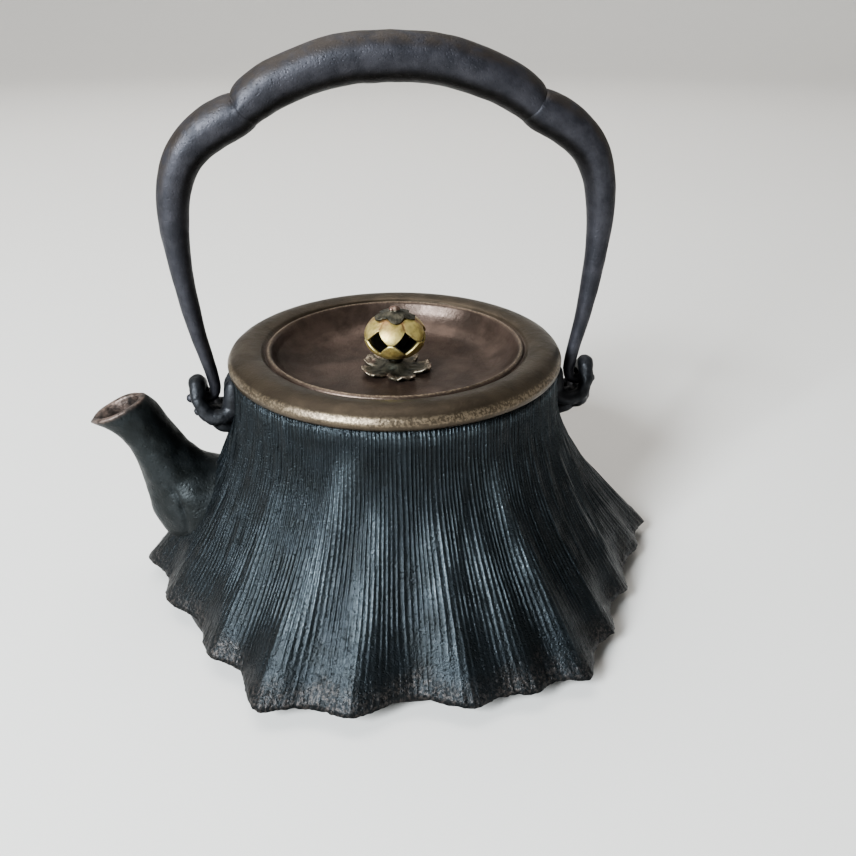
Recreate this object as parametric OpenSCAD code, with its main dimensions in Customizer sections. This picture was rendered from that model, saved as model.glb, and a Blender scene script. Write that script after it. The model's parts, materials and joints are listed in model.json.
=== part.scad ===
// Cast iron kettle with a pleated skirt, a bail handle and a bronze lid.
// Origin: centre of the base, on the plane that it rests on. +Z up, spout towards -X.

/* [Body] */
// Height of the mouth's rim
rim_z = 76.8; // [74:0.2:80]
// Outer radius of the neck at the rim
neck_r = 53.8; // [52:0.2:54.6]
// Height of the hem's lower edge above the table
hem_z = 6; // [5:0.5:8]
// Depth of the pleats, as a factor on the depth of each one
pleat_depth = 1; // [0.4:0.05:1.1]
// Radius of the mouth
mouth_r = 45; // [43.5:0.1:46]
// Radius of the opening that the base pan closes
seat_r = 73; // [70:0.5:74]

/* [Spout] */
// Thickness of the spout's wall
spout_wall = 2.4; // [1.8:0.1:3]
// Radius of the hole from the kettle into the spout
pour_hole_r = 7; // [4:0.5:8]

/* [Handle] */
// Height of the handle's top
handle_z = 177; // [170:1:184]
// Height of the axis that the handle swings on
pivot_z = 66; // [64:0.5:68]
// Radius of the hooks that pass through the lugs
hook_r = 1.9; // [1.5:0.1:2.2]
// Radius of the eye in each lug
eye_r = 2.9; // [2.5:0.1:3.2]
// Wall of the hollow grip
grip_wall = 1.4; // [1:0.1:2]

/* [Lid] */
// Outer radius of the lid
lid_r = 55; // [54.8:0.1:56]
// Height of the floor of the lid's recess
floor_z = 72.8; // [72:0.1:73.2]
// Radius of the bead around the recess
bead_r = 41.7; // [40:0.1:42]

/* [Knob] */
// Radius of the openwork bud
bud_r = 10.2; // [9:0.1:11]
// Height of the bud's centre
bud_z = 85.1; // [85.1:0.1:88]
// Radius of the stem that holds the knob to the lid
stem_r = 1.9; // [1.5:0.1:2.2]
// Number of petals in each ring of the bud
petals = 6; // [5:1:8]

/* [Hidden] */
$fn = 96;

iron = [0.14, 0.16, 0.19];
forged_iron = [0.2, 0.2, 0.22];
bronze = [0.34, 0.26, 0.2];
leaf_bronze = [0.3, 0.29, 0.22];
brass = [0.72, 0.62, 0.32];

// Pleats of the hem, unevenly spaced as folds of cloth are. Each is the ridge's direction, in degrees
// from the front (-Y) towards +X, its radius at the hem, and the depth of the valley that follows it.
pleats = [[-88, 90.5, 4], [-71, 86, 5.5], [-47, 86.8, 5.3], [-30.5, 96, 3.2], [-14.5, 91.8, 7],
    [8.5, 90.6, 2.4], [21, 91.8, 2.8], [30.5, 96, 3.4], [44, 89.3, 4.3], [60, 85.5, 4], [79, 88.6, 2.2],
    [88.5, 94.5, 6], [104, 90, 5],
    [122, 92, 6], [139, 89, 5], [155, 92, 7], [173, 90, 5], [188, 93, 6], [205, 90, 6], [222, 88, 5],
    [238, 91, 6], [254, 88, 5], [272, 90.5, 4]];
columns = 132;
base_r = 90;
// Profile over the ridges as [height, radius], from the rim down to the hem
profile = [[rim_z, neck_r], [66, neck_r + 0.4], [56, 56.2], [46, 60.2], [36, 66], [26, 73.2], [16, 81.6],
    [hem_z, base_r]];
pleat_top_z = 56;
// Inner surface as [height, radius], from the base opening up to the mouth
inside = [[hem_z, seat_r], [12.4, seat_r], [18, 70], [26, 65.5], [36, 59.5], [46, 54], [56, 51], [70, 49],
    [73, mouth_r], [rim_z, mouth_r]];

pan_edge_r = 79.8;
pan_gap = 0.15;
pan_floor_z = 4;
pan_lip_z = 12;

// Spout sections: lower point and upper point in the XZ plane, then half width across Y
spout_rows = [[[-101, 60.4], [-83.6, 67.4], 8.2], [[-95.5, 56.4], [-80.2, 64.4], 8],
    [[-91.3, 51], [-77.6, 59.6], 8.2], [[-89, 45], [-74.6, 54.6], 8.8], [[-88, 38.5], [-71, 49], 9.6],
    [[-87, 31.2], [-67, 45], 11], [[-86, 24], [-62.6, 42.6], 13], [[-81.5, 15.5], [-57.6, 41.8], 14]];
spout_sides = 32;
pour_hole_z = 31;

// Handle centreline as [x, z, half thickness, half width], for x > 0, from the top down to the hook
grip_path = [[0, 170.1, 6.9, 7.4], [12, 169.4, 6.9, 7.4], [22, 167.1, 6.8, 7.3], [32, 163.5, 6.6, 7.1],
    [40, 159, 6.3, 6.8], [44.7, 155.5, 6, 6.6]];
end_path = [[41, 158.2, 4.6, 5.1], [43.8, 156.2, 4.6, 5.1], [44.8, 155.4, 5.6, 6.2], [47.8, 153.8, 6.3, 6.7],
    [52.5, 151.2, 6.4, 6.8], [58, 147, 6, 6.4], [62.3, 141.4, 5.5, 5.9], [65.2, 133.4, 5, 5.3],
    [66.4, 123, 4.3, 4.6], [66.2, 112, 3.6, 3.9], [65.1, 100, 3, 3.3], [63.5, 88.5, 2.5, 2.8],
    [61.4, 78, 2.1, 2.5], [60.3, 71.5, 2, 2.3], [60, 66, 1.9, 1.9]];
// The two paths are drawn for an axis at 66 and a top at 177, and stretched to the sizes above
handle_stretch = (handle_z - pivot_z) / (177 - 66);
handle_sides = 20;
hook_x = 58.6;
hook_tip_x = 68.2;

lug_x = 65.1;
lug_half = 2.2;

lid_gap = 0.15;
knob_gap = 0.1;
seat_z = floor_z + knob_gap;
bud_half = 7.9;
bud_wall = 1.3;
hole_w = 7.4;
hole_h = 7.8;
first_hole = 227;
first_lobe = -82;

function lerp(a, b, t) = a + (b - a) * t;
function smooth(t) = let (c = max(0, min(1, t))) c * c * (3 - 2 * c);

function curve(a, b, c, d, t) = 0.5 * (2 * b + (c - a) * t + (2 * a - 5 * b + 4 * c - d) * t * t
    + (3 * b - a - 3 * c + d) * t * t * t);
// A smooth path through the given points, with n steps from each point to the next
function path(p, n) = [for (i = [0 : len(p) - 2], k = [0 : n - 1])
    curve(p[max(i - 1, 0)], p[i], p[i + 1], p[min(i + 2, len(p) - 1)], k / n), p[len(p) - 1]];

// Faces of a grid of points that closes around its columns; loop joins the last row to the first
function grid_faces(rows, cols, loop) = [for (i = [0 : rows - (loop ? 1 : 2)], j = [0 : cols - 1],
    half = [0, 1]) let (k = (j + 1) % cols, n = (i + 1) % rows)
    half == 0 ? [i * cols + j, i * cols + k, n * cols + k] : [i * cols + j, n * cols + k, n * cols + j]];
function cap(row, cols, flip) = [for (j = [0 : cols - 1]) row * cols + (flip ? cols - 1 - j : j)];

module grid(rows_of_points, loop = false) {
    rows = len(rows_of_points);
    cols = len(rows_of_points[0]);
    ends = loop ? [] : [cap(0, cols, true), cap(rows - 1, cols, false)];
    polyhedron([for (row = rows_of_points) each row], concat(grid_faces(rows, cols, loop), ends));
}

// How far the hem stands out from base_r in a direction: it swings in between two ridges
function hem_offset(angle) = let (i = max([for (k = [0 : len(pleats) - 2]) if (angle >= pleats[k][0]) k]),
        a = pleats[i], b = pleats[i + 1], u = (angle - a[0]) / (b[0] - a[0]))
    lerp(a[1], b[1], smooth(u)) - base_r - pleat_depth * a[2] * pow((1 - cos(360 * u)) / 2, 0.8);
function skirt_r(angle, z) = lookup(z, smooth_profile)
    + hem_offset(angle) * pow(max(0, (pleat_top_z - z) / (pleat_top_z - hem_z)), 1.6);
smooth_profile = path([for (i = [len(profile) - 1 : -1 : 0]) profile[i]], 3);
angles = [for (j = [0 : columns - 1]) pleats[0][0] + 0.01 + 360 * j / columns];

module body_shell() {
    outer = [for (i = [len(smooth_profile) - 1 : -1 : 0]) let (z = smooth_profile[i][0])
        [for (a = angles) let (r = skirt_r(a, z)) [r * sin(a), -r * cos(a), z]]];
    inner = [for (p = inside) [for (a = angles) [p[1] * sin(a), -p[1] * cos(a), p[0]]]];
    color(iron) difference() {
        grid(concat(outer, inner), true);
        translate([-pan_edge_r, 0, pour_hole_z]) rotate([0, 90, 0]) cylinder(r = pour_hole_r, h = 34, $fn = 32);
    }
}

module base_pan() {
    color(iron) rotate_extrude() polygon([[0, 0], [pan_edge_r - 1, 0], [pan_edge_r, 1],
        [pan_edge_r, hem_z - pan_gap - 1], [pan_edge_r - 1, hem_z - pan_gap], [seat_r - 0.3, hem_z - pan_gap],
        [seat_r - 0.3, pan_lip_z], [seat_r - 3, pan_lip_z], [seat_r - 7, pan_floor_z], [0, pan_floor_z]]);
}

// A ring of points around a spout section, drawn in by the wall on the inside
function spout_ring(row, inset) = let (low = row[0], high = row[1], half = norm(high - low) / 2,
    mid = (low + high) / 2, dir = (high - low) / (2 * half))
    [for (j = [0 : spout_sides - 1]) let (a = 360 * j / spout_sides, s = (half - inset) * cos(a))
        [mid[0] + dir[0] * s, (row[2] - inset) * sin(a), mid[1] + dir[1] * s]];

module spout() {
    rows = [for (p = path([for (r = spout_rows) [r[0][0], r[0][1], r[1][0], r[1][1], r[2]]], 2))
        [[p[0], p[1]], [p[2], p[3]], p[4]]];
    last = len(rows) - 1;
    outer = [for (r = rows) spout_ring(r, 0)];
    inner = [for (i = [last : -1 : 0]) spout_ring(rows[i], spout_wall)];
    color(iron) grid(concat(outer, inner), true);
}

// A ring of points around the handle's centreline, square to it
function handle_ring(p, tangent, inset) = let (t = tangent / norm(tangent), normal = [-t[1], t[0]])
    [for (j = [0 : handle_sides - 1]) let (a = 360 * j / handle_sides, s = (p[2] - inset) * cos(a))
        [p[0] + normal[0] * s, (p[3] - inset) * sin(a), p[1] + normal[1] * s]];
function tangent_at(p, i) = let (q = p[min(i + 1, len(p) - 1)] - p[max(i - 1, 0)]) [q[0], q[1]];
function stretched(p) = [for (q = p) [q[0], pivot_z + (q[1] - 66) * handle_stretch, q[2], q[3]]];
function handle_rings(p, inset) = [for (i = [0 : len(p) - 1]) handle_ring(p[i], tangent_at(p, i), inset)];

module handle_grip() {
    half = path(stretched(grip_path), 2);
    whole = concat([for (i = [len(half) - 1 : -1 : 1]) [-half[i][0], half[i][1], half[i][2], half[i][3]]], half);
    outer = handle_rings(whole, 0);
    inner = handle_rings(whole, grip_wall);
    color(forged_iron) grid(concat(outer, [for (i = [len(inner) - 1 : -1 : 0]) inner[i]]), true);
}

module handle_end(side) {
    leg = path(stretched(end_path), 2);
    color(forged_iron) mirror([side < 0 ? 1 : 0, 0, 0]) union() {
        grid(handle_rings(leg, 0));
        translate([hook_x, 0, pivot_z]) rotate([0, 90, 0])
            cylinder(r = hook_r, h = hook_tip_x - hook_x, $fn = 32);
        translate([hook_tip_x, 0, pivot_z]) sphere(r = hook_r, $fn = 24);
    }
}

module handle_end_left() { handle_end(-1); }
module handle_end_right() { handle_end(1); }

// Pierced lug like a knotted twig: an eye with a lobe above and below, a foot and two arms to the neck
module lug(side) {
    color(iron) mirror([side < 0 ? 1 : 0, 0, 0]) difference() {
        union() {
            translate([lug_x - lug_half, 0, pivot_z]) rotate([0, 90, 0])
                cylinder(r = eye_r + 2.6, h = 2 * lug_half, $fn = 48);
            translate([lug_x + 0.8, 0, pivot_z + 6.2]) sphere(r = 2.6, $fn = 32);
            translate([lug_x - 0.3, 0, pivot_z - 5.8]) sphere(r = 2.8, $fn = 32);
            hull() {
                translate([lug_x - 1.6, 0, pivot_z - 5.6]) sphere(r = 2.4, $fn = 24);
                translate([55, 0, pivot_z - 9]) sphere(r = 2.8, $fn = 24);
            }
            for (y = [-4.9, 4.9]) hull() {
                translate([lug_x - 1.2, y, pivot_z - 4.2]) sphere(r = 1.6, $fn = 24);
                translate([53.6, 1.1 * y, pivot_z - 4.6]) sphere(r = 1.9, $fn = 24);
            }
        }
        translate([lug_x - 6, 0, pivot_z]) rotate([0, 90, 0]) cylinder(r = eye_r, h = 12, $fn = 48);
    }
}

module lug_left() { lug(-1); }
module lug_right() { lug(1); }

module lid() {
    under = rim_z + lid_gap;
    color(bronze) difference() {
        rotate_extrude() polygon([[0, floor_z], [14, floor_z], [30, 73.5], [35.5, 75.2], [38.8, 78.2],
            [40.2, 81], [bead_r - 0.8, 82.1], [bead_r + 0.2, 82.2], [bead_r + 1, 81.6], [44.2, 82.6],
            [48, 83.3], [51, 82.9], [53.6, 81.6], [54.8, 80], [lid_r, 79], [54.7, 77.8], [53.6, under],
            [44.5, under], [44.5, 74], [42, 73.5], [36, 71.6], [30, 70.6], [0, 70]]);
        translate([0, 0, 60]) cylinder(r = stem_r + 0.06, h = 30, $fn = 48);
    }
}

// Leaf rosette: five notched lobes around the stem
module knob_seat() {
    lobes = 5;
    leaf = [for (a = [0 : 4 : 356]) let (b = lobes * (a - first_lobe), r = 10.3 + 1.7 * cos(b) + 0.35 * cos(3 * b))
        [r * cos(a), r * sin(a)]];
    color(leaf_bronze) difference() {
        union() {
            translate([0, 0, seat_z]) linear_extrude(1.5) polygon(leaf);
            translate([0, 0, seat_z]) cylinder(r1 = 6, r2 = 3.4, h = 3.2);
        }
        translate([0, 0, seat_z - 1]) cylinder(r = stem_r + 0.05, h = 10, $fn = 48);
    }
}

// Half outline of the bud between two heights, wall included
function bud_arc(from, to, inset) = [for (i = [0 : 12]) let (a = lerp(from, to, i / 12))
    [(bud_r - inset) * cos(a), bud_z + (bud_half - inset) * sin(a)]];

module bud_ring(from, to) {
    difference() {
        rotate_extrude() polygon(concat(bud_arc(from, to, 0), bud_arc(to, from, bud_wall)));
        for (i = [0 : petals - 1]) rotate([0, 0, first_hole + 360 * i / petals])
            translate([bud_r - 4, 0, bud_z]) rotate([90, 0, 90]) linear_extrude(8)
                polygon([[-hole_w / 2, 0], [0, -hole_h / 2], [hole_w / 2, 0], [0, hole_h / 2]]);
    }
}

module knob_petals_lower() { color(brass) bud_ring(-76, 0); }
module knob_petals_upper() { color(brass) bud_ring(0.2, 62); }

module knob_cap() {
    rise = bud_z + bud_half;
    plug_r = (bud_r - bud_wall) * cos(62) - 0.18;
    color(leaf_bronze) rotate_extrude() polygon([[0, rise - 2.6], [plug_r, rise - 2.6], [plug_r, rise - 0.9],
        [5.7, rise - 0.9], [5.6, rise - 0.5], [3.4, rise + 0.25], [2, rise + 0.6], [1.9, rise + 1.5],
        [1.1, rise + 2.1], [0, rise + 2.2]]);
}

module knob_stem() {
    color(brass) union() {
        translate([0, 0, 67.6]) cylinder(r = stem_r, h = bud_z + bud_half - 2.7 - 67.6, $fn = 48);
        translate([0, 0, 66.6]) cylinder(r1 = 2.4, r2 = 3, h = 1, $fn = 48);
        translate([0, 0, seat_z + 3.25])
            cylinder(r = 2.6, h = bud_z - bud_half * sin(76) - 0.05 - seat_z - 3.25, $fn = 48);
    }
}

module knob_washer() {
    color(forged_iron) translate([0, 0, 67.7]) difference() {
        cylinder(r = 7, h = 1.2);
        translate([0, 0, -1]) cylinder(r = stem_r + 0.05, h = 4, $fn = 48);
    }
}

body_shell();
base_pan();
spout();
lug_left();
lug_right();
handle_grip();
handle_end_left();
handle_end_right();
lid();
knob_seat();
knob_petals_lower();
knob_petals_upper();
knob_cap();
knob_stem();
knob_washer();
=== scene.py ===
import json
import math

import bpy
import numpy as np
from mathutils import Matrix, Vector


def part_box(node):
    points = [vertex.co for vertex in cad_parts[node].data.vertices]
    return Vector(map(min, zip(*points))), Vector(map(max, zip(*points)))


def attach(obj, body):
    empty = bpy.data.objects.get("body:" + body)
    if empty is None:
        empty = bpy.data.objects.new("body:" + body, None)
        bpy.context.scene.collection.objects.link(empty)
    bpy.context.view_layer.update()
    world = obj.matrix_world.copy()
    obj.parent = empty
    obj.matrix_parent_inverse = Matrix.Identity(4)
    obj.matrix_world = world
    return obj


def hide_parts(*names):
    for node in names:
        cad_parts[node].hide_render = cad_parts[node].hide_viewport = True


# Cast iron kettle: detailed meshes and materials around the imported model.
# Lengths in the shape functions are millimetres, and mesh_piece() turns them into metres.
MM = 0.001

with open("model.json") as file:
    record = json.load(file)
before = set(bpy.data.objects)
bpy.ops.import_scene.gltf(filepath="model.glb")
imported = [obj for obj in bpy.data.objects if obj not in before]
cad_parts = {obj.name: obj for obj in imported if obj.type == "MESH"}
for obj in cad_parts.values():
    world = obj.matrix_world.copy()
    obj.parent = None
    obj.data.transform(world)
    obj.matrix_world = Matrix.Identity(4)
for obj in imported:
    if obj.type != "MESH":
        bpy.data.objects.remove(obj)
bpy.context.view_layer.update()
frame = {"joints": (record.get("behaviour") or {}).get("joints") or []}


def box_mm(node):
    """Lowest and highest corner of a CAD node, in millimetres."""
    low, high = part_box(node)
    return np.array(low) / MM, np.array(high) / MM


SHELL = box_mm("body_shell")
PAN = box_mm("base_pan")
LID = box_mm("lid")
SEAT = box_mm("knob_seat")
BUD_LOW = box_mm("knob_petals_lower")
CAP = box_mm("knob_cap")
WASHER = box_mm("knob_washer")
RIM_Z = SHELL[1][2]
HEM_Z = SHELL[0][2]
PIVOT_Z = next(j for j in frame["joints"] if j["name"] == "handle_swing")["pos_m"][2] / MM


# ---------------------------------------------------------------- numbers and noise

def smooth(t):
    """Eases from 0 to 1 as t does, held at both ends."""
    t = np.clip(t, 0, 1)
    return t * t * (3 - 2 * t)


def noise(points, size, seed=0):
    """Smooth noise from -1 to 1 at each point, with features of the given size."""
    q = np.asarray(points, float) / size + 17.3 * seed
    cell = np.floor(q).astype(np.int64)
    t = q - cell
    t = t ** 3 * (t * (t * 6 - 15) + 10)
    total = np.zeros(q.shape[:-1])
    for corner in np.ndindex(2, 2, 2):
        c = cell + np.array(corner)
        h = (c[..., 0] * 374761393 + c[..., 1] * 668265263 + c[..., 2] * 1440662683) & 0x7fffffff
        h = ((h ^ (h >> 13)) * 1274126177) & 0x7fffffff
        h = (h ^ (h >> 15)) & 0xffff
        weight = np.prod(np.where(np.array(corner) == 1, t, 1 - t), axis=-1)
        total += weight * (h / 32767.5 - 1)
    return total


def curve(points, steps):
    """A smooth path through rows of numbers, with so many steps from each row to the next."""
    p = np.array(points, float)
    first, last = p[0], p[-1]
    p = np.vstack([first, p, last])
    out = []
    for i in range(1, len(p) - 2):
        a, b, c, d = p[i - 1:i + 3]
        for t in np.arange(steps) / steps:
            out.append(0.5 * (2 * b + (c - a) * t + (2 * a - 5 * b + 4 * c - d) * t ** 2
                              + (3 * b - a - 3 * c + d) * t ** 3))
    out.append(last)
    return np.array(out)


# ---------------------------------------------------------------- meshes

def mesh_piece(name, points, faces, material, body, nodes, values=None):
    """Makes a piece from points in millimetres, lets it ride on its body and stand for its nodes. values
    holds the numbers of each point attribute that the material reads."""
    mesh = bpy.data.meshes.new(name)
    mesh.from_pydata((np.asarray(points) * MM).tolist(), [], faces)
    mesh.update()
    for attribute, numbers in (values or {}).items():
        layer = mesh.attributes.new(attribute, "FLOAT", "POINT")
        layer.data.foreach_set("value", np.asarray(numbers, np.float32).ravel())
    piece = bpy.data.objects.new(name, mesh)
    bpy.context.collection.objects.link(piece)
    mesh.shade_smooth()
    mesh.materials.append(material)
    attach(piece, body)
    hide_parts(*nodes)
    return piece


def grid_faces(rows, cols, loop=False, ends=False, flip=False):
    """Faces of a grid whose columns close round. loop joins the last row to the first, ends closes both
    with a flat face, and flip turns every face over."""
    count = rows if loop else rows - 1
    i = np.repeat(np.arange(count), cols)
    j = np.tile(np.arange(cols), count)
    n, k = (i + 1) % rows, (j + 1) % cols
    faces = np.stack([i * cols + j, i * cols + k, n * cols + k, n * cols + j], 1).tolist()
    if ends:
        faces.append(list(range(cols - 1, -1, -1)))
        faces.append([(rows - 1) * cols + j for j in range(cols)])
    return [face[::-1] for face in faces] if flip else faces


def around(cols):
    """Angles from the front (-Y) towards +X, as a row, and the unit vectors that go with them."""
    angle = np.arange(cols) / cols * 2 * np.pi
    return angle, np.sin(angle), -np.cos(angle)


def ring_at(r, z, sx, sy):
    """Points round the upright axis at a radius and a height, each one number or a row of them."""
    return np.stack([r * sx, r * sy, z + 0 * sx], -1)


def lathe(profile, cols, wobble, size, seed):
    """Points of a turned shape from a profile of radius and height, a little uneven."""
    _, sx, sy = around(cols)
    points = ring_at(profile[:, :1], profile[:, 1:], sx, sy)
    push = wobble * noise(points, size, seed)
    points[..., 0] += push * sx
    points[..., 1] += push * sy
    points[..., 2] += 0.5 * push * noise(points, size, seed + 5)
    return points


def refine(profile, step):
    """Adds points along a profile of straight stretches so that none is longer than step."""
    out = []
    for a, b in zip(profile, profile[1:]):
        a, b = np.array(a, float), np.array(b, float)
        n = max(1, int(math.ceil(np.linalg.norm(b - a) / step)))
        out += [a + (b - a) * k / n for k in range(n)]
    return np.array(out + [np.array(profile[-1], float)])


def rounded(profile, cut, closed=True):
    """Replaces each corner of a profile with a short arc, cut back by the given length."""
    p = np.array(profile, float)
    out = []
    for i in range(len(p)):
        if not closed and i in (0, len(p) - 1):
            out.append(p[i])
            continue
        a, b, c = p[i - 1], p[i], p[(i + 1) % len(p)]
        u, v = a - b, c - b
        reach = min(cut, 0.45 * np.linalg.norm(u), 0.45 * np.linalg.norm(v))
        start, end = b + u / np.linalg.norm(u) * reach, b + v / np.linalg.norm(v) * reach
        for t in (0, 0.25, 0.5, 0.75, 1):
            out.append((1 - t) ** 2 * start + 2 * t * (1 - t) * b + t * t * end)
    return np.array(out)


# ---------------------------------------------------------------- materials

class Shader:
    """A node material around one Principled shader, with short calls for the usual nodes."""

    def __init__(self, name):
        self.material = bpy.data.materials.new(name)
        self.material.use_nodes = True
        self.tree = self.material.node_tree
        self.surface = self.tree.nodes["Principled BSDF"]
        self.place = self.add("ShaderNodeTexCoord").outputs["Object"]

    def add(self, kind, **inputs):
        """Adds a node. An input is named by its socket's name, or by _ and its number."""
        node = self.tree.nodes.new(kind)
        for key, value in inputs.items():
            socket = node.inputs[int(key[1:])] if key[0] == "_" else node.inputs[key]
            self.put(socket, value)
        return node

    def put(self, socket, value):
        if isinstance(value, bpy.types.NodeSocket):
            self.tree.links.new(value, socket)
        else:
            socket.default_value = value

    def noise(self, size_mm, detail=4, rough=0.55, place=None):
        node = self.add("ShaderNodeTexNoise", Vector=place or self.place, Scale=1 / (size_mm * MM),
                        Detail=detail, Roughness=rough)
        return node.outputs["Fac"]

    def cells(self, size_mm):
        node = self.add("ShaderNodeTexVoronoi", Vector=self.place, Scale=1 / (size_mm * MM))
        return node.outputs["Distance"]

    def math(self, what, a, b):
        node = self.add("ShaderNodeMath", _0=a, _1=b)
        node.operation = what
        return node.outputs[0]

    def fit(self, value, low, high, to_low=0.0, to_high=1.0):
        """Takes a value from one range to another, held at the ends."""
        node = self.add("ShaderNodeMapRange", _0=value, _1=low, _2=high, _3=to_low, _4=to_high)
        node.interpolation_type = "SMOOTHSTEP"
        return node.outputs[0]

    def blend(self, share, a, b):
        """Mixes two colours by a share from 0 to 1."""
        node = self.add("ShaderNodeMix", _0=share)
        node.data_type = "RGBA"
        for socket, colour in ((node.inputs[6], a), (node.inputs[7], b)):
            self.put(socket, (*colour, 1) if isinstance(colour, tuple) else colour)
        return node.outputs[2]

    def attribute(self, name):
        node = self.add("ShaderNodeAttribute")
        node.attribute_name = name
        return node.outputs["Fac"]

    def axis(self, which):
        return self.add("ShaderNodeSeparateXYZ", _0=self.place).outputs[which]

    def vector(self, what, a, b=(0, 0, 0)):
        node = self.add("ShaderNodeVectorMath", _0=a, _1=b)
        node.operation = what
        return node.outputs[0]

    def round_about(self, per_turn, per_metre):
        """Coordinates round the upright axis and up it, to draw a texture out down the wall. A 1 mm
        texture then has about per_turn features round the axis and per_metre features in a metre up."""
        turn = self.vector("NORMALIZE", self.vector("MULTIPLY", self.place, (1, 1, 0)))
        wide = self.vector("MULTIPLY", turn, (per_turn * MM / (2 * math.pi),) * 3)
        tall = self.vector("MULTIPLY", self.place, (0, 0, per_metre * MM))
        return self.vector("ADD", wide, tall)

    def bump(self, *heights):
        """Stacks bumps, each given as (height, depth in mm)."""
        normal = None
        for height, depth in heights:
            node = self.add("ShaderNodeBump", Height=height, Distance=depth * MM, Strength=1.0)
            if normal:
                self.put(node.inputs["Normal"], normal)
            normal = node.outputs[0]
        return normal

    def finish(self, colour, rough, metal, normal=None):
        s = self.surface.inputs
        self.put(s["Base Color"], colour)
        self.put(s["Roughness"], rough)
        s["Metallic"].default_value = metal
        if normal:
            self.put(s["Normal"], normal)
        return self.material


def combed_iron():
    """Blue-black cast iron: paler and bluer where the attribute "crest" is high, which is partly polish
    from rubbing on the comb crests and partly a painted highlight of the window, browner and granular at
    the hem, and brown with scale where "inner" is 1."""
    s = Shader("combed_iron")
    crest = s.attribute("crest")
    hem = s.fit(s.math("ADD", s.axis("Z"), s.math("MULTIPLY", s.noise(9), 0.014)), 0.022, 0.012)
    mottle = s.noise(9, 5, 0.6)
    body = s.blend(s.fit(mottle, 0.3, 0.7), (0.007, 0.009, 0.010), (0.012, 0.0155, 0.0185))
    # The pale bluish grey is polished iron and a painted highlight together
    rub_and_glint = s.math("MULTIPLY", crest, s.fit(s.noise(0.9, 4, 0.7), 0.38, 0.6, 0.35, 1))
    worn_and_glint = s.blend(rub_and_glint, body, (0.14, 0.17, 0.19))
    grain = s.fit(s.noise(0.9, 5, 0.7), 0.47, 0.6)
    rust = s.blend(grain, (0.010, 0.011, 0.012), (0.07, 0.06, 0.055))
    outside = s.blend(s.math("MULTIPLY", hem, 0.8), worn_and_glint, rust)
    scale = s.blend(s.fit(s.noise(7, 6, 0.6), 0.4, 0.6), (0.07, 0.035, 0.02), (0.12, 0.09, 0.07))
    colour = s.blend(s.attribute("inner"), outside, scale)
    streaks = s.noise(1, 4, 0.6, s.round_about(190, 45))
    pits = s.fit(s.cells(1.1), 0.05, 0.4)
    rough = s.fit(s.noise(3, 4, 0.6), 0.3, 0.7, 0.28, 0.42)
    rough = s.math("ADD", rough, s.math("MULTIPLY", hem, 0.1))
    normal = s.bump((streaks, 0.35), (pits, 0.1), (s.noise(0.8, 4, 0.65), 0.24))
    return s.finish(colour, rough, 0.75, normal)


def plain_iron(name, dark, light, rough_low, rough_high, grain_mm, depth_mm, metal=0.55, rim=None,
               top=None):
    """Cast or forged iron without combing: mottled, pitted, satin. Its colour goes to rim where the
    attribute "edge" is high, and to top where "top" is."""
    s = Shader(name)
    colour = s.blend(s.fit(s.noise(6, 5, 0.6), 0.35, 0.65), dark, light)
    if rim:
        # rim: rust on the spout's lip, and a painted shade on the handle's underside
        edge_tint = s.blend(s.fit(s.noise(2, 5, 0.6), 0.4, 0.6), tuple(0.35 * c for c in rim), rim)
        colour = s.blend(s.attribute("edge"), colour, edge_tint)
    if top:
        top_tint = s.math("MULTIPLY", s.attribute("top"), s.fit(s.noise(5, 5, 0.6), 0.3, 0.6))
        colour = s.blend(top_tint, colour, top)
    rough = s.fit(s.noise(4, 4, 0.6), 0.3, 0.7, rough_low, rough_high)
    pits = s.fit(s.cells(grain_mm * 1.6), 0.02, 0.35)
    normal = s.bump((pits, depth_mm * 0.5), (s.noise(grain_mm, 5, 0.6), depth_mm))
    return s.finish(colour, rough, metal, normal)


def patinated(name, dark, light, worn_and_glint, rough_low, rough_high, metal=0.85, depth_mm=0.12, patch_mm=8,
              other=None, hollow=None):
    """Bronze or brass under a skin, paler where the attribute "crest" is high: polished by rubbing on
    edges, and a painted highlight along the lid's lip. The attributes "other" and "hollow" lead to a second
    colour and to a near-black painted shade inside the knob's bud."""
    s = Shader(name)
    base = s.blend(s.fit(s.noise(patch_mm, 6, 0.6), 0.36, 0.64), dark, light)
    if other:
        patches = s.fit(s.noise(patch_mm / 2, 5, 0.6), 0.36, 0.64)
        tint = s.blend(patches, tuple(0.7 * c for c in other), other)
        base = s.blend(s.attribute("other"), base, tint)
    speckle = s.fit(s.noise(0.8, 3, 0.6), 0.42, 0.6)
    rub_and_glint = s.math("MULTIPLY", s.attribute("crest"), s.fit(speckle, 0, 1, 0.2, 1))
    colour = s.blend(rub_and_glint, base, worn_and_glint)
    # hollow: a painted shade inside the bud, on the petals' inner walls and on the post
    if hollow:
        colour = s.blend(s.attribute("hollow"), colour, hollow)
    rough = s.fit(s.noise(5, 4, 0.6), 0.3, 0.7, rough_low, rough_high)
    normal = s.bump((s.noise(2.2, 5, 0.6), depth_mm), (s.noise(0.7, 3, 0.6), depth_mm * 0.6))
    return s.finish(colour, rough, metal, normal)


IRON = combed_iron()
PAN_IRON = plain_iron("pan_iron", (0.012, 0.012, 0.013), (0.028, 0.025, 0.023), 0.5, 0.7, 0.9, 0.15)
SPOUT_IRON = plain_iron("spout_iron", (0.007, 0.009, 0.009), (0.015, 0.018, 0.019), 0.42, 0.54, 1.1, 0.16,
                        metal=0.6, rim=(0.17, 0.125, 0.105))
LUG_IRON = plain_iron("lug_iron", (0.010, 0.011, 0.013), (0.027, 0.028, 0.032), 0.42, 0.58, 1, 0.12)
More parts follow.
